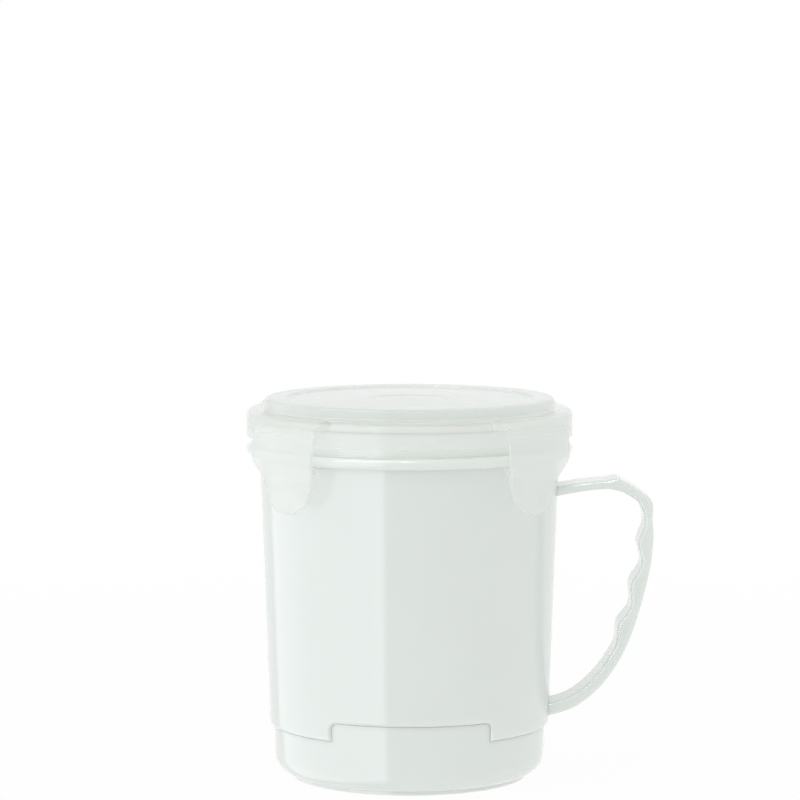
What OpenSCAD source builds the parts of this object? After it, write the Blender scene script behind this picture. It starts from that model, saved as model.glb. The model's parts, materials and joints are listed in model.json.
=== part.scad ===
// Soup mug: a double-walled cup with a side handle and a lid held down by four hinged flaps.
// Millimetres, +Z up. The origin is the centre of the foot, and the handle points to +X.

/* [Body] */
// Outer radius of the sleeve at its lower edge
body_r = 46.5; // [42:0.1:52]
// Height of the underside of the rim flange above the table
body_h = 107.8; // [92:0.1:130]
// How much wider the sleeve is under the flange than at its lower edge
body_flare = 3.2; // [2:0.1:5]
// Wall of the outer sleeve
sleeve_wall = 1.8; // [1.6:0.1:2.2]
// Rounding of the sleeve's lower edge
sleeve_edge_r = 1.4; // [0.6:0.1:1.5]

/* [Base] */
// Height of the seam between the base collar and the sleeve, at the handle
seam_z = 17.5; // [15:0.1:20]
// How far the base collar lies inside the sleeve's outer face
collar_step = 1.2; // [0.8:0.1:1.5]
// How much the base collar widens from its corner up to the seam
collar_flare = 0.5; // [0.1:0.1:1]
// Radius of the rounded corner under the base collar
base_corner_r = 6.6; // [4.5:0.1:8]
// Wall of the base cap
base_wall = 2; // [1.4:0.1:2.6]
// How far the foot ring lies inside the base collar
foot_inset = 5.8; // [3:0.1:8]
// Width of the ring that stands on the table
foot_w = 2.4; // [1.6:0.1:4]
// Height of the foot ring
foot_h = 1.2; // [0.8:0.1:2.4]
// How far the seam steps up at the front and the back
notch_h = 6.1; // [4:0.1:9]
// Angle that each step in the seam takes up, seen from above
notch_angle = 69; // [40:1:90]

/* [Inner cup] */
// Wall of the inner cup
cup_wall = 1.8; // [1.2:0.1:2.2]
// Air gap between the cup and the sleeve, just under the flange
air_gap = 1.5; // [1.2:0.1:2.2]
// Gap between the cup and the base cap's spigot, at the cup's foot
cup_foot_gap = 1.6; // [1.4:0.1:2.4]
// Radius of the rounded corner at the bottom of the cup
cup_corner_r = 6; // [4:0.1:9]
// How far the rim flange stands out from the sleeve
flange_out = 4.4; // [3.8:0.1:5.5]
// Height of the rim flange
flange_h = 3.7; // [3.4:0.1:6]
// Height of the drinking lip above the flange
lip_h = 8; // [6:0.1:11]
// Thickness of the drinking lip
lip_wall = 2; // [1.4:0.1:2.4]
// How far the lip stands back from the edge of the flange
lip_inset = 2.9; // [2.5:0.1:3.4]

/* [Lid] */
// Wall of the lid
lid_wall = 1.6; // [1.2:0.1:1.9]
// Gap between the flange and the lower edge of the lid's skirt
skirt_gap = 2.7; // [1.4:0.1:3.4]
// Height of the raised middle above the lid's flange
plateau_h = 3.7; // [2.8:0.1:6]
// How far the raised middle stands in from the edge of the lid
plateau_inset = 5.7; // [5.5:0.1:7.5]
// Clearance round the foot of a mug that stacks in the sunk panel
panel_clear = 2; // [0.5:0.1:3]
// Depth of the sunk panel
panel_d = 0.6; // [0.3:0.1:1]
// Radius of the round mark in the middle of the panel
mark_r = 14; // [8:0.5:20]
// Thickness of the silicone seal ring
gasket_t = 1.8; // [1.2:0.1:2.6]

/* [Locking flaps] */
// Length of a flap from its hinge line to its tip
flap_len = 27.3; // [24:0.1:32]
// Width of a flap at its hinge line
flap_w = 28.4; // [24:0.1:30]
// Thickness of a flap
flap_t = 1.5; // [1.2:0.1:1.8]
// Radius of the flap's rounded tip
flap_tip_r = 10; // [7:0.1:11]
// How far the ears that carry the flaps stand out from the lid
ear_out = 4.4; // [4:0.1:5.5]
// Depth of the hinge line below the top of the ears
hinge_drop = 3.9; // [3.6:0.1:4.2]
// How far the catch reaches in under the flange
catch_bite = 1.5; // [1:0.1:1.7]

/* [Handle] */
// How far the handle stands out from the sleeve's lower edge
handle_reach = 34.7; // [30:0.1:42]
// Height of the handle from its lower root to the thumb rest
handle_h = 79.6; // [72:0.1:84]
// Distance from the thumb rest up to the flange
handle_drop = 7.6; // [6:0.1:9]
// Width of the handle, across the hand
handle_w = 15; // [13:0.1:20]
// Thickness of the handle between the finger bumps
handle_t = 3.4; // [3.2:0.1:5]
// Height of the finger bumps
bump_h = 2; // [0.8:0.1:2.6]
// Distance from one finger bump to the next
bump_pitch = 15; // [14:0.1:18]

/* [Hidden] */
$fn = 96;

// Clearance between pieces that are fixed together
fit_gap = 0.15;
// Clearance between pieces that move apart
run_gap = 0.3;
// How far a cut runs past the material
overrun = 1;
// Straight pieces in a rounded corner, and in an edge of the handle
arc_steps = 6;
edge_steps = 3;

// Base cap: the collar, the spigot that goes up into the sleeve, and the foot
collar_r = body_r - collar_step;
base_r = collar_r - collar_flare;
base_corner_z = foot_h + base_corner_r;
base_floor_z = foot_h + base_wall;
foot_r = base_r - foot_inset;
spigot_wall = 1.5;
spigot_r = body_r - sleeve_wall - fit_gap;
spigot_in_r = spigot_r - spigot_wall;
notch_top = seam_z + notch_h;

// Sleeve: its top edge stands in a groove under the flange
tongue_h = 1.5;
sleeve_top = body_h + tongue_h;

// Inner cup: its foot stands on the base cap's floor
cup_low_r = spigot_in_r - cup_foot_gap;
cup_low_z = base_floor_z;
cup_top_r = body_r + body_flare - sleeve_wall - air_gap;
flange_r = body_r + body_flare + flange_out;
flange_top = body_h + flange_h;
flange_edge_r = 1.4;
flange_chamfer = 1.5;
groove_top = sleeve_top + fit_gap;
lip_r = flange_r - lip_inset;
lip_in_r = lip_r - lip_wall;
rim_z = flange_top + lip_h;
shoulder_rise = 1;

// Lid: its channel holds the seal ring, which stands just clear of the lip at rest
lid_r = flange_r;
lid_under = rim_z + run_gap + gasket_t;
lid_top = lid_under + lid_wall;
skirt_low = flange_top + skirt_gap;
skirt_in_r = lid_r - lid_wall;
lid_edge_r = 2.2;
plateau_r = lid_r - plateau_inset;
plateau_top = lid_top + plateau_h;
plateau_edge_r = 1.4;
plateau_draft = 0.5;
panel_r = foot_r + panel_clear;
panel_z = plateau_top - panel_d;
panel_slope = 0.4;
mark_d = 0.3;
plug_gap = 0.5;
plug_r = lip_in_r - plug_gap;
plug_low = skirt_low - run_gap;
plug_lead = 0.6;

// Ears and flaps: the hinge axis is the centre of the thin round edge along the top of a flap
ear_r = lid_r + ear_out;
ear_side = 0.4;
ear_w = flap_w + 2 * ear_side;
ear_corner_r = 3;
ear_slope_w = 3.4;
ear_slope_h = 2.7;
knuckle_r = 0.45;
hinge_r = ear_r - knuckle_r;
hinge_z = lid_top - hinge_drop;
ear_low = hinge_z + knuckle_r + run_gap;
hinge_neck_h = 0.9;
flap_top = hinge_z - hinge_neck_h;
flap_tip = hinge_z - flap_len;
flap_bulge = 0.8;
// Down the flap from its hinge: share of its length, and share of flap_bulge by which it stands out
flap_bow_shares = [[0, 0], [0.14, 0.55], [0.28, 1], [0.38, 0.7], [0.48, -0.9], [0.58, -2.2],
    [0.72, -2.6], [0.86, -2.2], [1, -0.8]];
// Where the sides of the flap start to draw in, as a share of its length
flap_taper_share = 0.33;
flap_taper_in = 0.3;
catch_r = flange_r - catch_bite;
catch_t = 0.9;
catch_angle = 22;
catch_rise = 2;
catch_fall = 2.2;

// Handle: stations along its outer edge, from the upper root round to the lower one. Each has its share
// of the reach and of the height, the direction of the inner edge in degrees, and its share of the thickness
handle_low = body_h - handle_drop - handle_h;
handle_edge_r = 1.2;
handle_shares = [
    [0.03, 0.961, -90, 0.93], [0.165, 0.9715, -90, 0.915], [0.3, 0.981, -90, 0.89],
    [0.43, 0.988, -90, 0.88], [0.54, 0.99, -96, 0.86], [0.6, 0.995, -103, 1.02],
    [0.655, 1, -111, 1.24], [0.7, 0.989, -118, 1.12], [0.783, 0.969, -135, 1.05],
    [0.88, 0.944, -157, 1.23], [0.965, 0.912, -168.5, 1.28], [0.991, 0.885, -172, 1.19],
    [0.99, 0.856, -176.5, 0.97], [0.987, 0.826, -180, 0.83], [0.997, 0.76, -181.5, 0.87],
    [0.987, 0.688, -186, 0.92], [0.967, 0.625, -189.4, 0.95], [0.935, 0.557, -192, 0.96],
    [0.894, 0.49, -195.2, 0.97], [0.824, 0.384, -200.9, 1], [0.73, 0.28, -207.5, 1.05],
    [0.608, 0.187, -215.9, 1.1], [0.469, 0.111, -225.7, 1.16], [0.302, 0.051, -235.1, 1.18],
    [0.146, 0.018, -243.7, 1.2], [-0.03, -0.001, -250, 1.26]
];
curve_steps = 3;
bump_count = 3;
bump_half_l = 7.4;
// Where along the outer edge the upper bump lies, as a share of the edge's length
bump_first_share = 0.4064;
tenon_w = 10;
tenon_h = 2.2;
// How far the tenons run past the sleeve's wall on both sides, before the inner ends are trimmed
tenon_run = 2;
// Where the tenons lie in the handle's height
tenon_top_share = 0.945;
tenon_low_share = 0.0265;

// Points along an arc about a centre c
function arc(c, r, a0, a1, n = arc_steps) =
    [for (i = [0:n]) c + r * [cos(a0 + (a1 - a0) * i / n), sin(a0 + (a1 - a0) * i / n)]];

// Outer and inner radius of the sleeve, and outer radius of the collar, at a height
function sleeve_r(z) = body_r + body_flare * (z - seam_z) / (body_h - seam_z);
function sleeve_in_r(z) = sleeve_r(z) - sleeve_wall;
function collar_at(z) = base_r + collar_flare * (z - base_corner_z) / (seam_z - base_corner_z);

// A solid turned about the mug's axis, or a sector of one centred on an angle
module turned(points) rotate_extrude() polygon(points);
module sector(points, middle, width) {
    rotate([0, 0, middle - width / 2])
        rotate_extrude(angle = width)
            polygon(points);
}

// A prism whose outline lies in the X-Z plane, width long along Y
module side_prism(points, width) {
    rotate([90, 0, 0])
        linear_extrude(height = width, center = true)
            polygon(points);
}

// A cone with the slope of the sleeve, a distance outside its outer face, as tall as the mug
module sleeve_cone(outside) {
    turned([[0, 0], [sleeve_r(0) + outside, 0], [sleeve_r(rim_z) + outside, rim_z], [0, rim_z]]);
}

// The two tenons of the handle, each a little larger by gap
module tenons(gap) {
    start = sleeve_in_r(seam_z) - tenon_run;
    end = sleeve_r(body_h) + tenon_run;
    for (share = [tenon_top_share, tenon_low_share])
        translate([start, -tenon_w / 2 - gap, handle_low + handle_h * share - tenon_h / 2 - gap])
            cube([end - start, tenon_w + 2 * gap, tenon_h + 2 * gap]);
}

module base_cap() {
    corner = [base_r - base_corner_r, base_corner_z];
    inner_r = base_corner_r - base_wall;
    foot_lean = asin((foot_r - corner.x) / base_corner_r);
    section = concat(
        [[foot_r - foot_w, foot_h], [foot_r - foot_w, 0], [foot_r, 0]],
        arc(corner, base_corner_r, foot_lean - 90, 0),
        [[collar_at(notch_top), notch_top], [spigot_in_r, notch_top]],
        arc(corner, inner_r, 0, -90),
        [[0, base_floor_z], [0, foot_h]]);
    seat_r = collar_r + overrun;
    seat_top = notch_top + overrun;
    seat = [[spigot_r, seam_z], [seat_r, seam_z], [seat_r, seat_top], [spigot_r, seat_top]];
    tab_gap = 2 * asin(fit_gap / collar_r);
    color("whitesmoke")
        difference() {
            turned(section);
            for (a = [0, 180]) sector(seat, a, 180 - notch_angle + tab_gap);
        }
}

// The rounding of a lower edge of the sleeve, from its outer face to its underside
function sleeve_edge(low) =
    arc([sleeve_r(low + sleeve_edge_r) - sleeve_edge_r, low + sleeve_edge_r], sleeve_edge_r, 0, -90);

module outer_sleeve() {
    section = concat(
        [[sleeve_in_r(sleeve_top), sleeve_top], [sleeve_r(sleeve_top), sleeve_top]],
        sleeve_edge(seam_z),
        [[sleeve_in_r(seam_z), seam_z]]);
    cut_in_r = sleeve_in_r(seam_z) - overrun;
    cut_out_r = sleeve_r(notch_top) + overrun;
    notch = concat(
        [[cut_in_r, seam_z - overrun], [cut_out_r, seam_z - overrun], [cut_out_r, notch_top + sleeve_edge_r]],
        sleeve_edge(notch_top),
        [[cut_in_r, notch_top]]);
    color("white")
        difference() {
            turned(section);
            for (a = [90, 270]) sector(notch, a, notch_angle);
            tenons(fit_gap);
        }
}

module inner_cup() {
    corner = [cup_low_r - cup_corner_r, cup_low_z + cup_corner_r];
    groove_in_r = sleeve_in_r(body_h) - fit_gap;
    groove_out_r = sleeve_r(sleeve_top) + fit_gap;
    outside = concat(
        [[0, cup_low_z]],
        arc(corner, cup_corner_r, -90, 0),
        [[cup_top_r, body_h], [groove_in_r, body_h], [groove_in_r, groove_top], [groove_out_r, groove_top],
            [groove_out_r, body_h], [flange_r - flange_chamfer, body_h], [flange_r, body_h + flange_chamfer]],
        arc([flange_r - flange_edge_r, flange_top - flange_edge_r], flange_edge_r, 0, 90),
        [[lip_r, flange_top]]);
    inside = concat(
        arc([lip_r - lip_wall / 2, rim_z - lip_wall / 2], lip_wall / 2, 0, 180),
        [[lip_in_r, flange_top + shoulder_rise], [cup_top_r - cup_wall, body_h]],
        arc(corner, cup_corner_r - cup_wall, 0, -90),
        [[0, cup_low_z + cup_wall]]);
    color("white") turned(concat(outside, inside));
}

// Points on a smooth curve through a list of points, with curve_steps points in each span
function curve_at(p, i, t) =
    let (a = p[max(i - 1, 0)], b = p[i], c = p[i + 1], d = p[min(i + 2, len(p) - 1)])
    (2 * b + (c - a) * t + (2 * a - 5 * b + 4 * c - d) * t * t + (3 * b - a - 3 * c + d) * t * t * t) / 2;
function curve(p) = concat(
    [for (i = [0:len(p) - 2]) for (k = [0:curve_steps - 1]) curve_at(p, i, k / curve_steps)],
    [p[len(p) - 1]]);

// Length of a path from its start to each of its points
function lengths(p, i = 0, sum = 0) =
    let (now = i == 0 || i == len(p) ? 0 : sum + norm(p[i] - p[i - 1]))
    i == len(p) ? [] : concat([now], lengths(p, i + 1, now));

// A bump of height 1 about a middle, which fades out at its half length
function bump(s, middle, half) = abs(s - middle) > half ? 0 : (1 + cos(180 * (s - middle) / half)) / 2;

// Points of the handle's rounded section: how far in from the outer edge, and how far across
function handle_section(t) =
    let (r = handle_edge_r, y = handle_w / 2 - r)
    concat(
        arc([r, y], r, 180, 90, edge_steps), arc([t - r, y], r, 90, 0, edge_steps),
        arc([t - r, -y], r, 0, -90, edge_steps), arc([r, -y], r, -90, -180, edge_steps));

// The handle's grip, swept along its outer edge and cut to the sleeve, with a tenon at each root
module handle() {
    stations = curve(handle_shares);
    path = [for (s = stations) [body_r + handle_reach * s[0], handle_low + handle_h * s[1]]];
    along = lengths(path);
    last = len(path) - 1;
    first_bump = along[last] * bump_first_share;
    rings = [for (i = [0:last])
        let (
            lean = stations[i][2],
            grip = [for (k = [0:bump_count - 1]) bump(along[i], first_bump + bump_pitch * k, bump_half_l)],
            t = handle_t * stations[i][3] + bump_h * max(grip)
        )
        [for (c = handle_section(t)) [path[i].x + cos(lean) * c.x, c.y, path[i].y + sin(lean) * c.x]]];
    sides = len(rings[0]);
    points = [for (ring = rings) for (p = ring) p];
    skin = [for (i = [0:last - 1]) for (j = [0:sides - 1])
        let (a = i * sides + j, b = i * sides + (j + 1) % sides)
        each [[b, a + sides, a], [b + sides, a + sides, b]]];
    caps = [[for (j = [0:sides - 1]) sides - 1 - j], [for (j = [0:sides - 1]) last * sides + j]];
    color("white") {
        difference() {
            polyhedron(points, concat(skin, caps));
            sleeve_cone(fit_gap);
        }
        difference() {
            tenons(0);
            sleeve_cone(-sleeve_wall);
        }
    }
}

// A shelf that stands out from the lid towards +X and slopes down to the hinge of a flap
module ear() {
    root = skirt_in_r - ear_out;
    side = [[root, ear_low], [ear_r, ear_low], [ear_r, lid_top - ear_slope_h], [ear_r - ear_slope_w, lid_top],
        [root, lid_top]];
    difference() {
        intersection() {
            side_prism(side, ear_w);
            translate([0, 0, ear_low])
                linear_extrude(height = lid_top - ear_low) {
                    translate([root, -ear_w / 2])
                        square([ear_r - root - ear_corner_r, ear_w]);
                    translate([root, ear_corner_r - ear_w / 2])
                        square([ear_r - root, ear_w - 2 * ear_corner_r]);
                    for (s = [-1, 1])
                        translate([ear_r - ear_corner_r, s * (ear_w / 2 - ear_corner_r)])
                            circle(ear_corner_r);
                }
        }
        cylinder(r = lid_r - lid_wall / 2, h = lid_under);
    }
}

module lid() {
    plug_in_r = plug_r - lid_wall;
    plateau_top_r = plateau_r - plateau_draft;
    top = concat(
        [[lid_r, skirt_low]],
        arc([lid_r - lid_edge_r, lid_top - lid_edge_r], lid_edge_r, 0, 90),
        [[plateau_r, lid_top]],
        arc([plateau_top_r - plateau_edge_r, plateau_top - plateau_edge_r], plateau_edge_r, 0, 90),
        [[panel_r, plateau_top], [panel_r - panel_slope, panel_z], [mark_r, panel_z],
            [mark_r, panel_z - mark_d], [0, panel_z - mark_d]]);
    under = [[0, panel_z - lid_wall], [plateau_top_r - lid_wall, panel_z - lid_wall],
        [plateau_r - lid_wall, lid_top], [plug_in_r, lid_under], [plug_in_r, plug_low],
        [plug_r - plug_lead, plug_low], [plug_r, plug_low + plug_lead * 2], [plug_r, lid_under],
        [skirt_in_r, lid_under], [skirt_in_r, skirt_low]];
    color("gainsboro", 0.6) {
        turned(concat(top, under));
        for (a = [45, 135, 225, 315]) rotate([0, 0, a]) ear();
    }
}

// Seal ring in the lid's channel, with a chamfer where the lip meets it
module lid_gasket() {
    in_r = plug_r + run_gap;
    out_r = skirt_in_r - run_gap;
    low = lid_under - gasket_t;
    chamfer = gasket_t / 4;
    color("ivory")
        turned([[in_r, lid_under], [in_r, low + chamfer], [in_r + chamfer, low], [out_r - chamfer, low],
            [out_r, low + chamfer], [out_r, lid_under]]);
}

// Half of the flap's outline, from the hinge down one side to the tip: the side touches the round tip
function flap_half() =
    let (
        shoulder = [flap_w / 2 - flap_taper_in, hinge_z - flap_len * flap_taper_share],
        centre = [0, flap_tip + flap_tip_r],
        to = shoulder - centre,
        touch = atan2(to.y, to.x) - acos(flap_tip_r / norm(to))
    )
    concat([[flap_w / 2, hinge_z + knuckle_r], shoulder], arc(centre, flap_tip_r, touch, -90));

// Outline of a flap seen from the front, both halves
function flap_outline() =
    let (half = flap_half(), n = len(half))
    concat(half, [for (i = [2:n]) [-half[n - i].x, half[n - i].y]]);

// A locking flap that hangs from the ear at +X, with its catch under the flange
module flap() {
    drop = flap_tip - flap_top;
    face = curve([for (s = flap_bow_shares) [ear_r + flap_bulge * s.y, flap_top + drop * s.x]]);
    n = len(face);
    plate = concat(face, [for (i = [1:n]) face[n - i] - [flap_t, 0]]);
    inside_r = catch_r - overrun;
    behind = concat([for (p = face) p - [flap_t / 2, 0]], [[inside_r, flap_tip], [inside_r, flap_top]]);
    catch_z = body_h + (catch_r - (flange_r - flange_chamfer)) - run_gap * sqrt(2);
    catch_end_r = ear_r + flap_t;
    catch = [[catch_r, catch_z], [catch_r + catch_rise, catch_z + catch_rise],
        [catch_end_r, catch_z + catch_rise], [catch_end_r, catch_z - catch_t - catch_fall],
        [catch_r, catch_z - catch_t]];
    intersection() {
        side_prism(plate, flap_w);
        rotate([90, 0, 90])
            linear_extrude(height = ear_r + flap_bulge * 2)
                polygon(flap_outline());
    }
    translate([hinge_r, 0, hinge_z])
        rotate([90, 0, 0])
            cylinder(r = knuckle_r, h = flap_w, center = true);
    translate([hinge_r - knuckle_r, -flap_w / 2, flap_top - hinge_neck_h / 2])
        cube([2 * knuckle_r, flap_w, hinge_z - flap_top + hinge_neck_h / 2]);
    intersection() {
        side_prism(behind, flap_w);
        sector(catch, 0, catch_angle);
    }
}

module placed_flap(a) {
    color("gainsboro", 0.6) rotate([0, 0, a]) flap();
}
module front_left_flap() placed_flap(225);
module front_right_flap() placed_flap(315);
module back_left_flap() placed_flap(135);
module back_right_flap() placed_flap(45);

inner_cup();
outer_sleeve();
base_cap();
handle();
lid();
lid_gasket();
front_left_flap();
front_right_flap();
back_left_flap();
back_right_flap();
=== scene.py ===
"""Soup mug: smooth meshes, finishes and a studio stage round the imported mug. Lengths are in metres."""
import json
import math

import bmesh
import bpy
from bpy.props import FloatProperty, FloatVectorProperty, PointerProperty
from mathutils import Matrix, Vector


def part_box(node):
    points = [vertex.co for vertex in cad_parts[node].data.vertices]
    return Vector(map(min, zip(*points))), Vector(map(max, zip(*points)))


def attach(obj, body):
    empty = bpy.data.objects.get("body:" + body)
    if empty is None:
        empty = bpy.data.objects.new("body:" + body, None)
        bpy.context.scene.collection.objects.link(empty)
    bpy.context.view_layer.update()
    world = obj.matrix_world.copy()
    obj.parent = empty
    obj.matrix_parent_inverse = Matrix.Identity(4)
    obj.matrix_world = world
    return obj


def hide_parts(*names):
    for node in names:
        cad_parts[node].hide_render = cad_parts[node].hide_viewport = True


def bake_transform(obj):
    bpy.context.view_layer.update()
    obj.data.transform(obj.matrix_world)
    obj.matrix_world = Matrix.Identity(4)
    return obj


bl_info = {
    "name": "Soup mug",
    "version": (1, 0, 0),
    "blender": (4, 5, 0),
    "location": "View3D > Sidebar > Soup mug",
    "description": "Builds a lidded soup mug with a finger grip handle and four locking flaps",
    "category": "Object",
}

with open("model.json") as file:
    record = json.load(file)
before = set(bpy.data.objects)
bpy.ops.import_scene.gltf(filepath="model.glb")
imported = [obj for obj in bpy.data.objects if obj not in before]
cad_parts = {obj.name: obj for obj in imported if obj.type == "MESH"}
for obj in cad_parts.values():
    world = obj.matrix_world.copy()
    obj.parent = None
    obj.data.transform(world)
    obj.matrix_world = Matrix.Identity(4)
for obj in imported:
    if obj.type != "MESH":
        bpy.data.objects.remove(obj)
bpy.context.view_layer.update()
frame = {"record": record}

MM = 0.001
# Points as near as this are merged
MERGE = 1e-6
# Places as near as this count as one
NEAR = 1e-5
ORIGIN = Vector((0, 0, 0))
ACROSS = Vector((1, 0, 0))
UP = Vector((0, 0, 1))
FULL_TURN = math.tau
# Straight steps in a full turn
TURN_STEPS = 192
# An edge that bends more than this stays sharp
SHARP_EDGE = math.radians(40)

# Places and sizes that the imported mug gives
FOOT_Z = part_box("base_cap")[0].z
TAB_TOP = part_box("base_cap")[1].z
TAB_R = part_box("base_cap")[1].y
SEAM_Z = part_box("outer_sleeve")[0].z
SLEEVE_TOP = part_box("outer_sleeve")[1].z
SLEEVE_TOP_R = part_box("outer_sleeve")[1].y
CUP_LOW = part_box("inner_cup")[0].z
RIM_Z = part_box("inner_cup")[1].z
FLANGE_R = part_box("inner_cup")[1].y
PLUG_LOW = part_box("lid")[0].z
PLATEAU_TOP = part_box("lid")[1].z
LID_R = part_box("lid")[1].y
SEAL_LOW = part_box("lid_gasket")[0].z
LID_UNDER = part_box("lid_gasket")[1].z
SEAL_OUT_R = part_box("lid_gasket")[1].y
HANDLE_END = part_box("handle")[1].x
HANDLE_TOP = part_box("handle")[1].z
HANDLE_HALF_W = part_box("handle")[1].y
HINGES = {
    joint["child"]: Vector(joint["pos_m"])
    for joint in frame["record"]["behaviour"]["joints"]
    if joint["type"] == "hinge"
}
HINGE_R = max(place.xy.length for place in HINGES.values())
HINGE_Z = max(place.z for place in HINGES.values())
FLAP_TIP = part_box("front_left_flap")[0].z


def length(name, description, size):
    """A length in millimetres, kept in metres."""
    return FloatProperty(
        name=name, description=description, default=size * MM, min=0, unit="LENGTH", precision=5)


def angle(name, description, degrees):
    """An angle in degrees, kept in radians."""
    return FloatProperty(
        name=name, description=description, default=math.radians(degrees), subtype="ANGLE")


def colour(name, description, rgb):
    """A linear colour."""
    return FloatVectorProperty(
        name=name, description=description, default=rgb, size=3, min=0, max=1, subtype="COLOR")


def amount(name, description, value, high=1):
    """A plain factor."""
    return FloatProperty(name=name, description=description, default=value, min=0, max=high)


class BodySizes(bpy.types.PropertyGroup):
    """Sizes of the cup, the sleeve and the base cap."""
    body_r: length("Body radius", "Radius of the sleeve at its lower edge", 46.5)
    body_h: length("Body height", "Height of the underside of the rim flange", 107.8)
    sleeve_wall: length("Sleeve wall", "Wall of the outer sleeve", 1.8)
    sleeve_edge: length("Sleeve edge", "Rounding of the sleeve's lower edge", 1.6)
    notch_corner: length("Notch corner", "Rounding of the corners of the stepped seam", 2.2)
    notch: angle("Notch", "Angle that each step in the seam takes up", 69)
    seam_gap: length("Seam gap", "Clearance between a tab and the sides of its notch", 0.05)
    fit_gap: length("Fit gap", "Clearance between the tabs and the sleeve", 0.15)
    tab_edge: length("Tab edge", "Rounding of the upper edge of the tabs", 0.1)
    collar_flare: length("Collar flare", "How much the collar widens up to the seam", 0.5)
    collar_step: length("Collar step", "How far the collar lies inside the sleeve's face", 1.2)
    corner_r: length("Base corner", "Radius of the corner under the collar", 6.6)
    base_wall: length("Base wall", "Wall of the base cap", 2)
    spigot_wall: length("Spigot wall", "Wall of the spigot that goes up into the sleeve", 1.5)
    foot_inset: length("Foot inset", "How far the foot ring lies inside the collar", 5.8)
    foot_w: length("Foot width", "Width of the foot ring", 2.4)
    foot_h: length("Foot height", "Height of the foot ring", 1.2)
    foot_edge: length("Foot edge", "Rounding of the foot ring", 0.4)
    cup_wall: length("Cup wall", "Wall of the inner cup", 1.8)
    cup_gap: length("Cup gap", "Gap between the cup's foot and the spigot", 1.6)
    air_gap: length("Air gap", "Gap between the cup and the sleeve under the flange", 1.5)
    cup_corner: length("Cup corner", "Radius of the corner at the bottom of the cup", 6)
    flange_h: length("Flange height", "Height of the rim flange", 3.7)
    flange_top_edge: length("Flange top edge", "Rounding of the flange's upper edge", 1.4)
    flange_low_edge: length("Flange lower edge", "Rounding of the flange's lower edge", 2.2)
    lip_inset: length("Lip inset", "How far the lip stands back from the flange's edge", 2.9)
    lip_wall: length("Lip wall", "Thickness of the drinking lip", 2)
    lip_root: length("Lip root", "Rounding where the lip stands on the flange", 0.6)


class LidSizes(bpy.types.PropertyGroup):
    """Sizes of the lid, its ears and its seal."""
    wall: length("Wall", "Wall of the lid", 1.6)
    skirt_low: length("Skirt low", "Height of the lower edge of the skirt", 114.2)
    edge: length("Edge", "Rounding of the lid's outer edge", 2.2)
    plateau_inset: length("Plateau inset", "How far the raised middle stands in from the edge", 5.7)
    plateau_draft: length("Plateau draft", "How far the raised middle leans in", 0.5)
    plateau_edge: length("Plateau edge", "Rounding of the raised middle's edge", 1.4)
    plateau_root: length("Plateau root", "Rounding at the foot of the raised middle", 0.8)
    panel_r: length("Panel radius", "Radius of the sunk panel", 41)
    panel_d: length("Panel depth", "Depth of the sunk panel", 0.6)
    panel_slope: length("Panel slope", "Width of the slope round the sunk panel", 0.4)
    mark_r: length("Mark radius", "Radius of the round mark in the panel", 14)
    mark_d: length("Mark depth", "Depth of the round mark", 0.3)
    mark_slope: length("Mark slope", "Width of the slope round the mark", 1)
    plug_gap: length("Plug gap", "Gap between the lid's plug and the lip", 0.5)
    plug_lead: length("Plug lead", "Lead-in at the lower edge of the plug", 0.6)
    soft_edge: length("Soft edge", "Rounding of the small edges", 0.35)
    ear_out: length("Ear reach", "How far the ears stand out from the lid", 4.4)
    ear_half_w: length("Ear half width", "Half of the width of an ear", 14.6)
    ear_corner: length("Ear corner", "Rounding of an ear's corners, seen from above", 3)
    ear_root: length("Ear root", "Rounding where an ear meets the lid, seen from above", 4)
    ear_slope_w: length("Ear slope width", "Width of the slope on top of an ear", 3.4)
    ear_slope_h: length("Ear slope height", "Height of the slope on top of an ear", 2.7)
    ear_gap: length("Ear gap", "Distance from the hinge axis up to the ear", 0.75)
    seal_gap: length("Seal gap", "Gap between the seal ring and the plug", 0.3)
    seal_edge: length("Seal edge", "Rounding of the seal ring", 0.45)


class FlapSizes(bpy.types.PropertyGroup):
    """Sizes of a locking flap and its film hinge."""
    half_w: length("Half width", "Half of the flap's width at its hinge", 14.2)
    taper_in: length("Taper", "How much the sides draw in down to the shoulder", 0.3)
    thickness: length("Thickness", "Thickness of a flap", 1.5)
    tip_r: length("Tip radius", "Radius of the rounded tip", 10)
    bulge: length("Bulge", "How far the flap bows out", 0.8)
    neck_h: length("Neck", "Distance from the hinge axis down to the plate", 0.75)
    edge: length("Edge", "Rounding of the flap's edges", 0.45)
    catch_half_w: length("Catch half width", "Half of the width of the catch", 10)
    catch_bite: length("Catch bite", "How far the catch reaches in under the flange", 1.5)
    catch_h: length("Catch height", "Height of the catch at its inner end", 0.9)
    film_t: length("Film", "Thickness of the film hinge", 0.5)
    film_sink: length("Film sink", "How far the film runs into the ear and the flap", 0.3)


class HandleSizes(bpy.types.PropertyGroup):
    """Sizes of the handle."""
    height: length("Height", "Height from the lower root to the thumb rest", 79.6)
    thickness: length("Thickness", "Thickness between the finger bumps", 3.4)
    edge: length("Edge", "Rounding of the handle's edges", 1.2)
    bump_h: length("Bump height", "Height of the finger bumps", 2)
    bump_pitch: length("Bump pitch", "Distance from one finger bump to the next", 15)
    bump_half: length("Bump half length", "Half of the length of a finger bump", 7.4)


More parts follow.
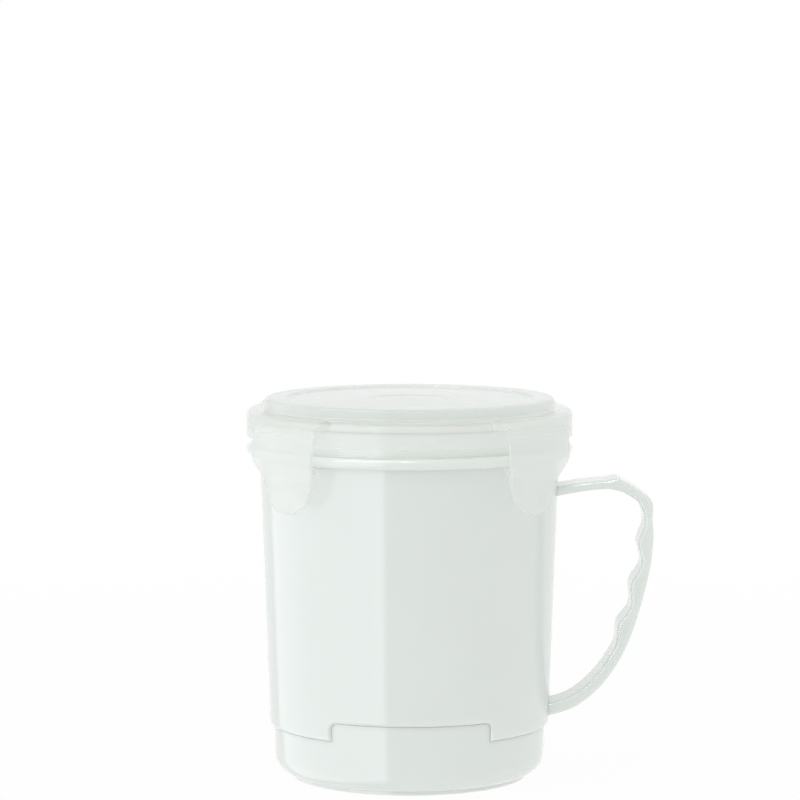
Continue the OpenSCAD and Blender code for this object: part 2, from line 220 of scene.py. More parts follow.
class Finishes(bpy.types.PropertyGroup):
    """Colours and gloss of the three plastics."""
    white: colour("White", "Colour of the white plastic", (0.845, 0.87, 0.845))
    white_rough: amount("White roughness", "Roughness of the white plastic", 0.12)
    white_deep: amount("White depth share", "Share of the light that sinks into the white plastic", 0.7)
    white_depth: length("White depth", "How far the light spreads in the white plastic", 1.6)
    milk: colour("Milky", "Tint of the translucent plastic", (0.885, 0.9, 0.885))
    milk_cover: amount(
        "Milky cover", "How far each face of the translucent plastic covers what lies behind", 0.38)
    milk_slant: amount("Milky slant", "How far a face that is seen at a slant covers what lies behind", 0.7)
    milk_shade: amount(
        "Milky shade", "How far each face of the translucent plastic shades what lies behind", 0.01)
    milk_mirror: amount("Milky mirror", "How strongly the translucent plastic mirrors its surroundings", 0.35)
    milk_rough: amount("Milky roughness", "Roughness of the translucent plastic", 0.1)
    seal: colour("Seal", "Colour of the silicone seal", (0.86, 0.845, 0.76))
    seal_rough: amount("Seal roughness", "Roughness of the silicone seal", 0.5)


class StageSizes(bpy.types.PropertyGroup):
    """The camera, the lamps and the floor."""
    camera_turn: angle("Camera turn", "How far the camera stands round to the side", -0.8)
    camera_rise: angle("Camera rise", "How far the camera stands above the mug's middle", 8.16)
    camera_distance: length("Camera distance", "From the mug's middle to the camera", 1270)
    mug_middle: length("Mug middle", "Height of the mug's middle", 62)
    look_left: length("Look left", "How far left of the mug's axis the camera looks", 3.14)
    look_height: length("Look height", "Height that the camera looks at", 125.65)
    focal: amount("Focal length", "Focal length in widths of the picture", 4.749, 20)
    fill: amount("Fill", "Strength of the light from all round", 0.805, 5)
    key_power: amount("Key power", "Power of the key lamp in watts", 0.7, 500)
    top_power: amount("Top power", "Power of the lamp overhead in watts", 0.6, 500)
    edge_power: amount("Edge power", "Power of the lamp that mirrors in the rounded edges, in watts", 12, 500)
    panel_light: amount("Panel light", "Radiance of the panel that mirrors in the mug's left side", 3, 50)
    panel_turn: angle("Panel turn", "Direction of the panel's middle, from the camera round to the left", 78)
    panel_width: angle("Panel width", "Angle that the panel takes up, seen from the mug", 116)
    panel_far: amount("Panel far end", "Light of the panel's far end, as a share of its near end", 0.3)
    panel_distance: length("Panel distance", "From the mug to the panel", 1500)
    floor_white: amount("Floor white", "Share of the floor near the mug that shows as plain white", 0.95)
    floor_glow: amount("Floor glow", "Share of the floor that shines up at the mug as plain white", 0.5)
    floor_half: length("Floor half", "Half of the floor's width", 6000)
    fade: length("Fade", "Distance at which the floor has faded to plain white", 700)


GROUPS = {
    "body": BodySizes, "lid": LidSizes, "flap": FlapSizes, "handle": HandleSizes, "finishes": Finishes,
    "stage": StageSizes,
}


def arc(centre, radius, start, stop, steps):
    """Points along an arc between two angles in degrees."""
    turns = [math.radians(start + (stop - start) * i / steps) for i in range(steps + 1)]
    return [(centre[0] + radius * math.cos(a), centre[1] + radius * math.sin(a)) for a in turns]


def smooth_step(t):
    """0 below 0, 1 above 1, and a smooth rise between them."""
    t = min(max(t, 0), 1)
    return t * t * (3 - 2 * t)


def soft_max(a, b, width):
    """The larger of a and b, rounded where they are alike."""
    h = max(width - abs(a - b), 0) / width
    return max(a, b) + h * h * width / 4


def spline(rows, spans):
    """Rows of numbers along a smooth curve through the given rows, with spans steps between two rows."""
    last = len(rows) - 1
    made = []
    for i in range(last):
        a, b, c, d = (Vector(rows[j]) for j in (max(i - 1, 0), i, i + 1, min(i + 2, last)))
        for k in range(spans):
            t = k / spans
            bend = (2 * a - 5 * b + 4 * c - d) * t**2 + (3 * b - a - 3 * c + d) * t**3
            made.append((2 * b + (c - a) * t + bend) / 2)
    return made + [Vector(rows[last])]


def section(points, closed=False):
    """A mesh of edges through points of (radius, height) or (radius, height, rounding), in the X-Z plane."""
    bm = bmesh.new()
    verts = [bm.verts.new((p[0], 0, p[1])) for p in points]
    pairs = list(zip(verts, verts[1:]))
    if closed:
        pairs.append((verts[-1], verts[0]))
    for a, b in pairs:
        bm.edges.new((a, b))
    for vert, point in zip(verts, points):
        if len(point) > 2:
            round_corner(bm, vert, point[2])
    return bm


def round_corner(bm, vert, radius, segments=6):
    """Rounds a corner of a line of edges."""
    a, b = (edge.other_vert(vert).co - vert.co for edge in vert.link_edges)
    offset = radius / math.tan(a.angle(b) / 2)
    bmesh.ops.bevel(
        bm, geom=[vert], offset=offset, offset_type="OFFSET", segments=segments, profile=0.5,
        affect="VERTICES", material=-1)


def turn(bm, start=0, spans=((FULL_TURN, TURN_STEPS),)):
    """Turns all edges about the mug's axis, span by span of (angle, steps), and closes the round."""
    bmesh.ops.rotate(bm, verts=bm.verts[:], cent=ORIGIN, matrix=Matrix.Rotation(start, 3, "Z"))
    geom = bm.verts[:] + bm.edges[:]
    for span, steps in spans:
        made = bmesh.ops.spin(
            bm, geom=geom, cent=ORIGIN, axis=UP, angle=span, steps=steps, use_merge=span == FULL_TURN)
        geom = made["geom_last"]
    close(bm)


def close(bm):
    """Merges doubled points and turns all faces outwards."""
    bmesh.ops.remove_doubles(bm, verts=bm.verts[:], dist=MERGE)
    bmesh.ops.dissolve_degenerate(bm, dist=MERGE, edges=bm.edges[:])
    bmesh.ops.recalc_face_normals(bm, faces=bm.faces[:])


def fill_and_close(bm):
    """Fills the open ends of a mesh, then closes it."""
    bmesh.ops.holes_fill(bm, edges=[edge for edge in bm.edges if edge.is_boundary], sides=0)
    close(bm)


def made_points(made):
    """The points that an operator made."""
    return [item for item in made if isinstance(item, bmesh.types.BMVert)]


def made_edges(made, points):
    """The edges that an operator made between two of a set of points."""
    edges = [item for item in made if isinstance(item, bmesh.types.BMEdge)]
    return [edge for edge in edges if points.issuperset(edge.verts)]


def slice_along(bm, axis, places):
    """Cuts the mesh with planes across an axis, so that it can bend there."""
    for place in places:
        geom = bm.verts[:] + bm.edges[:] + bm.faces[:]
        bmesh.ops.bisect_plane(bm, geom=geom, dist=MERGE, plane_co=axis * place, plane_no=axis)


def plate(bm, thickness):
    """Fills the outline in the X-Z plane and gives it a thickness along +Y."""
    bmesh.ops.contextual_create(bm, geom=bm.edges[:])
    made = bmesh.ops.extrude_face_region(bm, geom=bm.faces[:])["geom"]
    bmesh.ops.translate(bm, verts=made_points(made), vec=Vector((0, thickness, 0)))
    bmesh.ops.recalc_face_normals(bm, faces=bm.faces[:])


def round_edges(bm, edges, radius, segments=5):
    """Rounds sharp edges of a mesh."""
    bmesh.ops.bevel(
        bm, geom=edges, offset=radius, offset_type="OFFSET", segments=segments, profile=0.5, affect="EDGES",
        material=-1)


def add_object(name, data):
    """A new object in the scene."""
    made = bpy.data.objects.new(name, data)
    bpy.context.scene.collection.objects.link(made)
    return made


def mesh_object(name, bm, material):
    """An object at the origin, made from a finished bmesh."""
    mesh = bpy.data.meshes.new(name)
    bm.to_mesh(mesh)
    bm.free()
    mesh.materials.append(material)
    return add_object(name, mesh)


def smooth_object(name, bm, material):
    """A mesh object with smooth faces."""
    piece = mesh_object(name, bm, material)
    piece.data.shade_smooth()
    piece.data.set_sharp_from_angle(angle=SHARP_EDGE)
    piece.modifiers.new("weighted_normals", "WEIGHTED_NORMAL").keep_sharp = True
    return piece


def add_piece(name, bm, mug, slot, body, node):
    """A piece in the finish of a slot that rides on a body and stands for a node."""
    piece = smooth_object(name, bm, finish(slot, mug))
    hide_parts(node)
    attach(piece, body)


def sleeve_r(body, z):
    """Outer radius of the sleeve at a height."""
    share = (z - SEAM_Z) / (SLEEVE_TOP - SEAM_Z)
    return body.body_r + (SLEEVE_TOP_R - body.body_r) * share


def spigot_r(body):
    """Outer radius of the base cap's spigot."""
    return body.body_r - body.sleeve_wall - body.fit_gap


def cup_mesh(body):
    """The inner cup with its rim flange, the groove for the sleeve and the drinking lip."""
    low_r = spigot_r(body) - body.spigot_wall - body.cup_gap
    sleeve_in = sleeve_r(body, body.body_h) - body.sleeve_wall
    top_r = sleeve_in - body.air_gap
    flange_top = body.body_h + body.flange_h
    lip_r = FLANGE_R - body.lip_inset
    lip_in_r = lip_r - body.lip_wall
    groove_in = sleeve_in - body.fit_gap
    groove_out = SLEEVE_TOP_R + body.fit_gap
    groove_top = SLEEVE_TOP + body.fit_gap
    bm = section([
        (0, CUP_LOW), (low_r, CUP_LOW, body.cup_corner), (top_r, body.body_h), (groove_in, body.body_h),
        (groove_in, groove_top), (groove_out, groove_top), (groove_out, body.body_h),
        (FLANGE_R, body.body_h, body.flange_low_edge), (FLANGE_R, flange_top, body.flange_top_edge),
        (lip_r, flange_top, body.lip_root), (lip_r, RIM_Z, body.lip_wall / 2 - NEAR),
        (lip_in_r, RIM_Z, body.lip_wall / 2 - NEAR), (lip_in_r, flange_top, body.lip_wall),
        (top_r - body.cup_wall, body.body_h, body.lip_wall),
        (low_r - body.cup_wall, CUP_LOW + body.cup_wall, body.cup_corner - body.cup_wall),
        (0, CUP_LOW + body.cup_wall)])
    turn(bm)
    return bm


def sleeve_mesh(body):
    """The outer sleeve: a flat strip with two notches and a rounded lower edge, bent round the mug's axis."""
    ends = math.pi * body.body_r
    near = (math.pi - body.notch) / 2 * body.body_r
    far = (math.pi + body.notch) / 2 * body.body_r
    corner = body.notch_corner
    steps = [(near, SEAM_Z), (near, TAB_TOP, corner), (far, TAB_TOP, corner), (far, SEAM_Z)]
    mirrored = [(-x, *rest) for x, *rest in reversed(steps)]
    bm = section([
        (-ends, SEAM_Z), *mirrored, *steps, (ends, SEAM_Z), (ends, SLEEVE_TOP), (-ends, SLEEVE_TOP)], True)
    plate(bm, body.sleeve_wall)
    lower = [
        edge for edge in bm.edges
        if all(v.co.y < NEAR and v.co.z < TAB_TOP + NEAR for v in edge.verts)]
    round_edges(bm, lower, body.sleeve_edge)
    slice_along(bm, ACROSS, [ends * (2 * i / TURN_STEPS - 1) for i in range(1, TURN_STEPS)])
    caps = [face for face in bm.faces if all(abs(v.co.x) > ends - NEAR for v in face.verts)]
    bmesh.ops.delete(bm, geom=caps, context="FACES")
    for vert in bm.verts:
        a = vert.co.x / body.body_r
        r = sleeve_r(body, vert.co.z) - vert.co.y
        vert.co = (r * math.cos(a), r * math.sin(a), vert.co.z)
    close(bm)
    return bm


# Straight steps in the base cap's outer and inner corner, in the turn of a tab, and between two tabs
CORNER_STEPS = 14
INNER_CORNER_STEPS = 8
TAB_STEPS = 72
SIDE_STEPS = 108


def base_mesh(body):
    """The base cap: foot ring, rounded corner and collar, with a tab in each notch of the sleeve."""
    collar_r = body.body_r - body.collar_step
    base_r = collar_r - body.collar_flare
    foot_r = base_r - body.foot_inset
    foot_in_r = foot_r - body.foot_w
    sole_z = FOOT_Z + body.foot_h
    corner = (base_r - body.corner_r, sole_z + body.corner_r)
    lean = math.degrees(math.asin((foot_r - corner[0]) / body.corner_r))
    out_r = spigot_r(body)
    in_r = out_r - body.spigot_wall
    outside = arc(corner, body.corner_r, lean - 90, 0, CORNER_STEPS)
    inside = arc(corner, body.corner_r - body.base_wall, 0, -90, INNER_CORNER_STEPS)
    bm = section([
        (0, sole_z), (foot_in_r, sole_z), (foot_in_r, FOOT_Z, body.foot_edge),
        (foot_r, FOOT_Z, body.foot_edge), *outside, (collar_r, SEAM_Z), (TAB_R, TAB_TOP, body.tab_edge),
        (out_r, TAB_TOP), (in_r, TAB_TOP), *inside, (0, sole_z + body.base_wall)])
    gap = 2 * math.asin(body.seam_gap / collar_r)
    tab = body.notch - gap
    side = math.pi - tab
    turn(bm, -math.pi / 2 - tab / 2, [(tab, TAB_STEPS), (side, SIDE_STEPS)] * 2)
    cut_seats(bm, out_r, side / 2)
    return bm


def cut_seats(bm, out_r, half_side):
    """Cuts the seat for the sleeve's lower edge into both sides of the base cap."""
    seats = []
    for face in bm.faces:
        middle = face.calc_center_median()
        aside = math.atan2(abs(middle.y), abs(middle.x))
        if aside < half_side and middle.xy.length > out_r + NEAR and middle.z > SEAM_Z + NEAR:
            seats.append(face)
    bmesh.ops.delete(bm, geom=seats, context="FACES")
    rims = [edge for edge in bm.edges if edge.is_boundary]
    for sign in (-1, 1):
        here = [edge for edge in rims if all(v.co.x * sign > 0 for v in edge.verts)]
        low = [edge for edge in here if all(abs(v.co.z - SEAM_Z) < NEAR for v in edge.verts)]
        high = [
            edge for edge in here
            if all(abs(v.co.z - TAB_TOP) < NEAR and abs(v.co.xy.length - out_r) < NEAR for v in edge.verts)]
        made = bmesh.ops.extrude_edge_only(bm, edges=low)["geom"]
        points = made_points(made)
        for vert in points:
            vert.co.xy *= out_r / vert.co.xy.length
        bmesh.ops.bridge_loops(bm, edges=made_edges(made, set(points)) + high)
    fill_and_close(bm)


# Stations along the handle's outer edge, from the upper root round to the lower one: shares of the reach and
# of the height, the direction of the inner edge in degrees, and the share of the thickness
HANDLE_SHARES = [
    (0.03, 0.961, -90, 0.93), (0.165, 0.9715, -90, 0.915), (0.3, 0.981, -90, 0.89),
    (0.43, 0.988, -90, 0.88), (0.54, 0.99, -96, 0.86), (0.6, 0.995, -103, 1.02),
    (0.655, 1, -111, 1.24), (0.7, 0.989, -118, 1.12), (0.783, 0.969, -135, 1.05),
    (0.88, 0.944, -157, 1.23), (0.965, 0.912, -168.5, 1.28), (0.991, 0.885, -172, 1.19),
    (0.99, 0.856, -176.5, 0.97), (0.987, 0.826, -180, 0.83), (0.997, 0.76, -181.5, 0.87),
    (0.987, 0.688, -186, 0.92), (0.967, 0.625, -189.4, 0.95), (0.935, 0.557, -192, 0.96),
    (0.894, 0.49, -195.2, 0.97), (0.824, 0.384, -200.9, 1), (0.73, 0.28, -207.5, 1.05),
    (0.608, 0.187, -215.9, 1.1), (0.469, 0.111, -225.7, 1.16), (0.302, 0.051, -235.1, 1.18),
    (0.146, 0.018, -243.7, 1.2), (-0.03, -0.001, -250, 1.26),
]
# Steps from one station to the next
HANDLE_SPANS = 6
BUMP_COUNT = 3
# Where along the outer edge the upper finger bump lies, as a share of the edge's length
BUMP_FIRST_SHARE = 0.4064


def finger_bump(place, middle, half):
    """A bump of height 1 that fades out at its half length."""
    if abs(place - middle) > half:
        return 0
    return (1 + math.cos(math.pi * (place - middle) / half)) / 2


def handle_mesh(body, handle):
    """The handle: a rounded ring drawn along the stations, thicker at the three finger bumps."""
    stations = spline(HANDLE_SHARES, HANDLE_SPANS)
    reach = HANDLE_END - body.body_r
    low = HANDLE_TOP - handle.height
    path = [Vector((body.body_r + reach * s[0], low + handle.height * s[1])) for s in stations]
    along = [0]
    for a, b in zip(path, path[1:]):
        along.append(along[-1] + (b - a).length)
    bumps = [along[-1] * BUMP_FIRST_SHARE + handle.bump_pitch * k for k in range(BUMP_COUNT)]
    corners = [
        (0, -HANDLE_HALF_W), (handle.thickness, -HANDLE_HALF_W), (handle.thickness, HANDLE_HALF_W),
        (0, HANDLE_HALF_W)]
    bm = section([(*corner, handle.edge) for corner in corners], True)
    depth = bm.verts.layers.float.new("depth")
    across = bm.verts.layers.float.new("across")
    for vert in bm.verts:
        vert[depth] = vert.co.x
        vert[across] = vert.co.z
    ring = bm.edges[:]
    for i, (point, station) in enumerate(zip(path, stations)):
        if i:
            made = bmesh.ops.extrude_edge_only(bm, edges=ring)["geom"]
            ring = made_edges(made, set(made_points(made)))
        grip = max(finger_bump(along[i], bump, handle.bump_half) for bump in bumps)
        extra = handle.thickness * (station[3] - 1) + handle.bump_h * grip
        lean = math.radians(station[2])
        for vert in {v for edge in ring for v in edge.verts}:
            d = vert[depth] + (extra if vert[depth] > handle.thickness / 2 else 0)
            vert.co = (point.x + math.cos(lean) * d, vert[across], point.y + math.sin(lean) * d)
    fill_and_close(bm)
    return bm


# Angle from one ear to the next
EAR_PITCH = math.pi / 2
# Spans from the middle of an ear to the next, and the steps in each: corners and roots take small steps
EAR_SPANS = [
    (math.radians(span), steps) for span, steps in [(10.5, 6), (8, 36), (53, 28), (8, 36), (10.5, 6)]]
# Where the rings of the lid's outer edge lie between an ear's outline and the lid's top, as shares
EAR_TOP_SHARES = [0, 0.08, 0.25, 0.45, 0.65, 0.85, 1]
# How far out the lid's edge has become an ear, as a share of the ear's reach
EAR_START_SHARE = 0.25
# Height of the lead-in at the plug's lower edge, as a share of its width
PLUG_LEAD_SHARE = 2


def ear_outline(lid, a):
    """Radius of the lid's outline at an angle from the middle of an ear, with rounded corners and roots."""
    a = max(abs(a), NEAR)
    front = LID_R + lid.ear_out
    corner = Vector((front - lid.ear_corner, lid.ear_half_w - lid.ear_corner))
    ray = Vector((math.cos(a), math.sin(a)))
    if a < math.atan2(corner.y, front):
        r = front / ray.x
    elif a < math.atan2(lid.ear_half_w, corner.x):
        r = corner.dot(ray) + math.sqrt(lid.ear_corner**2 - corner.cross(ray) ** 2)
    else:
        r = lid.ear_half_w / ray.y
    return soft_max(r, LID_R, lid.ear_root)


def ear_top(lid, lid_top, x):
    """Height of an ear's top at a distance out along its middle line."""
    start = LID_R + lid.ear_out - lid.ear_slope_w
    fall = soft_max(x - start, 0, lid.soft_edge * 2)
    return lid_top - fall * lid.ear_slope_h / lid.ear_slope_w


def lid_mesh(body, lid):
    """The lid, turned in one piece, with its outer edge drawn out to four sloping ears."""
    lid_top = LID_UNDER + lid.wall
    ear_low = HINGE_Z + lid.ear_gap
    plateau_r = LID_R - lid.plateau_inset
    plateau_top_r = plateau_r - lid.plateau_draft
    panel_z = PLATEAU_TOP - lid.panel_d
    skirt_in_r = LID_R - lid.wall
    plug_r = FLANGE_R - body.lip_inset - body.lip_wall - lid.plug_gap
    plug_in_r = plug_r - lid.wall
    soft = lid.soft_edge
    edge_z = lid_top - lid.edge
    top = [
        (0, panel_z - lid.mark_d), (lid.mark_r - lid.mark_slope, panel_z - lid.mark_d, soft),
        (lid.mark_r, panel_z, soft), (lid.panel_r - lid.panel_slope, panel_z, soft),
        (lid.panel_r, PLATEAU_TOP, soft), (plateau_top_r, PLATEAU_TOP, lid.plateau_edge),
        (plateau_r, lid_top, lid.plateau_root)]
    edge = arc((LID_R - lid.edge, edge_z), lid.edge, 90, 0, len(EAR_TOP_SHARES) - 1)
    wall = [(LID_R, ear_low + soft), (LID_R, ear_low), (LID_R, ear_low - soft)]
    under = [
        (LID_R, lid.skirt_low, soft), (skirt_in_r, lid.skirt_low, soft), (skirt_in_r, LID_UNDER, soft),
        (plug_r, LID_UNDER, soft), (plug_r, PLUG_LOW + lid.plug_lead * PLUG_LEAD_SHARE),
        (plug_r - lid.plug_lead, PLUG_LOW), (plug_in_r, PLUG_LOW, soft), (plug_in_r, LID_UNDER),
        (plateau_r - lid.wall, lid_top), (plateau_top_r - lid.wall, panel_z - lid.wall, soft),
        (0, panel_z - lid.wall)]
    bm = section(top + edge + wall + under)
    ring = bm.verts.layers.float.new("ring")
    for number, (r, z) in enumerate(edge + wall, 1):
        for vert in bm.verts:
            if (vert.co - Vector((r, 0, z))).length < NEAR:
                vert[ring] = number
    turn(bm, EAR_PITCH / 2, EAR_SPANS * len(HINGES))
    shape_ears(bm, lid, ring, lid_top, ear_low)
    return bm


def shape_ears(bm, lid, ring, lid_top, ear_low):
    """Draws the rings of the lid's outer edge out to the ears."""
    tops = len(EAR_TOP_SHARES)
    soft = lid.soft_edge
    for vert in bm.verts:
        number = round(vert[ring])
        if not number:
            continue
        around = math.atan2(vert.co.y, vert.co.x)
        a = (around + math.pi) % EAR_PITCH - EAR_PITCH / 2
        out_r = ear_outline(lid, a)
        part = smooth_step((out_r - LID_R) / (lid.ear_out * EAR_START_SHARE))
        plain = Vector((vert.co.xy.length, vert.co.z))
        if number <= tops:
            r = plain.x + (out_r - plain.x) * EAR_TOP_SHARES[number - 1]
            ear = (r, ear_top(lid, lid_top, r * math.cos(a)))
        else:
            under = [(out_r, ear_low + soft / 2), (out_r - soft, ear_low), (LID_R, ear_low)]
            ear = under[number - tops - 1]
        r, z = plain.lerp(Vector(ear), part)
        vert.co = (r * math.cos(around), r * math.sin(around), z)
    close(bm)


def seal_mesh(body, lid):
    """The silicone ring in the lid's channel."""
    in_r = FLANGE_R - body.lip_inset - body.lip_wall - lid.plug_gap + lid.seal_gap
    bm = section([
        (in_r, LID_UNDER - NEAR), (in_r, SEAL_LOW, lid.seal_edge), (SEAL_OUT_R, SEAL_LOW, lid.seal_edge),
        (SEAL_OUT_R, LID_UNDER - NEAR)], True)
    turn(bm)
    return bm


# Down a flap from its hinge: share of its length, and share of the bulge by which it stands out
FLAP_BOW_SHARES = [
    (0, 0), (0.14, 0.55), (0.28, 1), (0.38, 0.7), (0.48, -0.9), (0.58, -2.2), (0.72, -2.6), (0.86, -2.2),
    (1, -0.8)]
# Where the sides of a flap start to draw in, as a share of its length
FLAP_SHOULDER_SHARE = 0.33
# How far the feet of the catch's root and of its inner end lie under the flange, in heights of the catch
CATCH_ROOT_SHARE = 3
CATCH_END_SHARE = 1.5
# Cuts across the catch, as shares of its half width
CATCH_CUT_SHARES = [-1, -0.5, 0, 0.5, 1]
# Steps in a flap's tip and edges, from one row of its bow to the next, down the flap and down its film
TIP_STEPS = 28
FLAP_EDGE_STEPS = 4
FLAP_BOW_SPANS = 4
FLAP_SLICES = 36
FILM_SLICES = 12


def flap_bow(flap, curve, z):
    """How far a flap stands out at a height."""
    top = HINGE_Z - flap.neck_h
    share = min(max((top - z) / (top - FLAP_TIP), 0), 1)
    for a, b in zip(curve, curve[1:]):
        if share <= b[0]:
            return flap.bulge * (a[1] + (b[1] - a[1]) * (share - a[0]) / (b[0] - a[0]))
    return flap.bulge * curve[-1][1]


def flap_outline(flap, top):
    """Outline of a flap: straight to its shoulders, then drawn in to the rounded tip."""
    shoulder = Vector((flap.half_w - flap.taper_in, HINGE_Z - (HINGE_Z - FLAP_TIP) * FLAP_SHOULDER_SHARE))
    centre = Vector((0, FLAP_TIP + flap.tip_r))
    to = shoulder - centre
    touch = math.degrees(math.atan2(to.y, to.x) - math.acos(flap.tip_r / to.length))
    tip = arc(centre, flap.tip_r, touch, -180 - touch, TIP_STEPS)
    return [
        (flap.half_w, top, flap.edge), shoulder, *tip, (-shoulder.x, shoulder.y),
        (-flap.half_w, top, flap.edge)]


def flap_mesh(body, lid, flap, turned):
    """A locking flap: a rounded plate that bows in and out, with the catch on its inner face."""
    face_r = LID_R + lid.ear_out
    top = HINGE_Z - flap.neck_h
    bm = section(flap_outline(flap, top), True)
    plate(bm, flap.thickness)
    sharp = [edge for edge in bm.edges if abs(edge.verts[0].co.y - edge.verts[1].co.y) < NEAR]
    round_edges(bm, sharp, flap.edge, FLAP_EDGE_STEPS)
    catch_r = FLANGE_R - flap.catch_bite
    catch_top = body.body_h + flap.catch_h
    catch_low = body.body_h - flap.catch_h * CATCH_ROOT_SHARE
    heights = [FLAP_TIP + (top - FLAP_TIP) * i / FLAP_SLICES for i in range(1, FLAP_SLICES)]
    slice_along(bm, UP, heights + [catch_low, catch_top])
    slice_along(bm, ACROSS, [flap.catch_half_w * share for share in CATCH_CUT_SHARES])
    seat = [
        face for face in bm.faces
        if all(v.co.y > flap.thickness - NEAR and abs(v.co.x) < flap.catch_half_w + NEAR
               and catch_low - NEAR < v.co.z < catch_top + NEAR for v in face.verts)]
    ends = made_points(bmesh.ops.extrude_face_region(bm, geom=seat)["geom"])
    curve = spline(FLAP_BOW_SHARES, FLAP_BOW_SPANS)
    for vert in bm.verts:
        vert.co.y -= flap_bow(flap, curve, vert.co.z)
    for vert in ends:
        share = (vert.co.z - catch_low) / (catch_top - catch_low)
        vert.co.y = face_r - math.sqrt(catch_r**2 - vert.co.x**2)
        vert.co.z = body.body_h - flap.catch_h * (CATCH_END_SHARE - share)
    bmesh.ops.recalc_face_normals(bm, faces=bm.faces[:])
    stand(bm, face_r, turned)
    return bm


def film_mesh(lid, flap, turned):
    """The film hinge between an ear and its flap: a thin strip, cut across into many slices."""
    low = HINGE_Z - flap.neck_h - flap.film_sink
    high = HINGE_Z + lid.ear_gap + flap.film_sink
    half_w = flap.half_w - flap.edge
    bm = section([(-half_w, low), (half_w, low), (half_w, high), (-half_w, high)], True)
    plate(bm, flap.film_t)
    slice_along(bm, UP, [low + (high - low) * i / FILM_SLICES for i in range(1, FILM_SLICES)])
    stand(bm, HINGE_R + flap.film_t / 2, turned)
    return bm


def stand(bm, r, turned):
    """Takes a plate that faces -Y to a radius in the direction of an ear."""
    matrix = Matrix.Rotation(turned + math.pi / 2, 4, "Z") @ Matrix.Translation((0, -r, 0))
    bmesh.ops.transform(bm, matrix=matrix, verts=bm.verts[:])
    close(bm)


# The middle of a noise's range, where most of its values lie
NOISE_LOW = 0.3
NOISE_HIGH = 0.7
PLASTIC_IOR = 1.49
# Rays that show the background: straight from the camera, mirrored, or through clear plastic
SEEN_RAYS = ("Camera", "Glossy", "Transmission")
# Rays that bring light to other faces
LIGHT_RAYS = ("Shadow", "Diffuse")


def set_inputs(node, values):
    """Sets sockets of a node by their names."""
    for name, value in values.items():
        node.inputs[name].default_value = value


class NodeBench:
    """Adds and links the nodes of a material, a lamp or the world."""

    def __init__(self, owner):
        owner.use_nodes = True
        self.tree = owner.node_tree

    def add(self, kind, **values):
        node = self.tree.nodes.new(kind)
        for key, value in values.items():
            setattr(node, key, value)
        return node

    def link(self, output, target):
        self.tree.links.new(output, target)

    def map_range(self, value, start, stop, low, high, kind="LINEAR"):
        """Takes a value between start and stop to one between low and high."""
        node = self.add("ShaderNodeMapRange", interpolation_type=kind)
        self.link(value, node.inputs["Value"])
        set_inputs(node, {"From Min": start, "From Max": stop, "To Min": low, "To Max": high})
        return node.outputs["Result"]

    def any_ray(self, *kinds):
        """1 for rays of the given kinds, 0 for all others."""
        rays = self.add("ShaderNodeLightPath")
        total, *others = (rays.outputs[f"Is {kind} Ray"] for kind in kinds)
        for other in others:
            node = self.add("ShaderNodeMath", operation="MAXIMUM")
            self.link(total, node.inputs[0])
            self.link(other, node.inputs[1])
            total = node.outputs[0]
        return total

    def show_mix(self, share, first, second, output):
        """Shows a mix of two shaders through an output node."""
        mix = self.add("ShaderNodeMixShader")
        for source, target in zip((share, first.outputs[0], second.outputs[0]), mix.inputs):
            self.link(source, target)
        self.link(mix.outputs[0], self.tree.nodes[output].inputs["Surface"])


class MaterialBench(NodeBench):
    """Adds and links the nodes of a new material."""

    def __init__(self, name):
        self.material = bpy.data.materials.new(name)
        super().__init__(self.material)
        self.shader = self.tree.nodes["Principled BSDF"]
        self.place = self.add("ShaderNodeTexCoord").outputs["Object"]

    def noise(self, scale, detail, rough=0.5):
        """A noise over the piece, with scale spots in a metre."""
        node = self.add("ShaderNodeTexNoise")
        self.link(self.place, node.inputs["Vector"])
        set_inputs(node, {"Scale": scale, "Detail": detail, "Roughness": rough})
        return node.outputs["Fac"]

    def spread(self, value, low, high):
        """Takes the middle of a noise to a range of values."""
        return self.map_range(value, NOISE_LOW, NOISE_HIGH, low, high)

    def tint(self, value, low, high):
        """Goes from one colour to another with a noise."""
        node = self.add("ShaderNodeMix", data_type="RGBA")
        self.link(self.spread(value, 0, 1), node.inputs["Factor"])
        set_inputs(node, {"A": (*low, 1), "B": (*high, 1)})
        return node.outputs["Result"]

    def bump(self, value, depth):
        """A fine relief, depth metres high."""
        node = self.add("ShaderNodeBump")
        self.link(value, node.inputs["Height"])
        set_inputs(node, {"Strength": 1, "Distance": depth})
        self.link(node.outputs["Normal"], self.shader.inputs["Normal"])


def moulded(name, tint, rough, clouds, cloud_shade, gloss, gloss_shares, grain, grain_h):
    """A finish with faint clouds in its colour, uneven gloss and a fine grain, each made by a noise."""
    bench = MaterialBench(name)
    dark = [share * cloud_shade for share in tint]
    bench.link(bench.tint(bench.noise(*clouds), dark, tint), bench.shader.inputs["Base Color"])
    low, high = (rough * share for share in gloss_shares)
    bench.link(bench.spread(bench.noise(*gloss), low, high), bench.shader.inputs["Roughness"])
    bench.bump(bench.noise(*grain), grain_h)
    return bench


def white_plastic(finishes):
    """Glossy white polypropylene, with light that spreads under its surface."""
    bench = moulded(
        "white_plastic_finish", finishes.white, finishes.white_rough, clouds=(35, 4), cloud_shade=0.985,
        gloss=(140, 5, 0.6), gloss_shares=(0.8, 1.25), grain=(300, 2), grain_h=2e-6)
    set_inputs(bench.shader, {
        "IOR": PLASTIC_IOR, "Subsurface Weight": finishes.white_deep, "Subsurface Radius": (1, 1, 1),
        "Subsurface Scale": finishes.white_depth})
    return bench.material


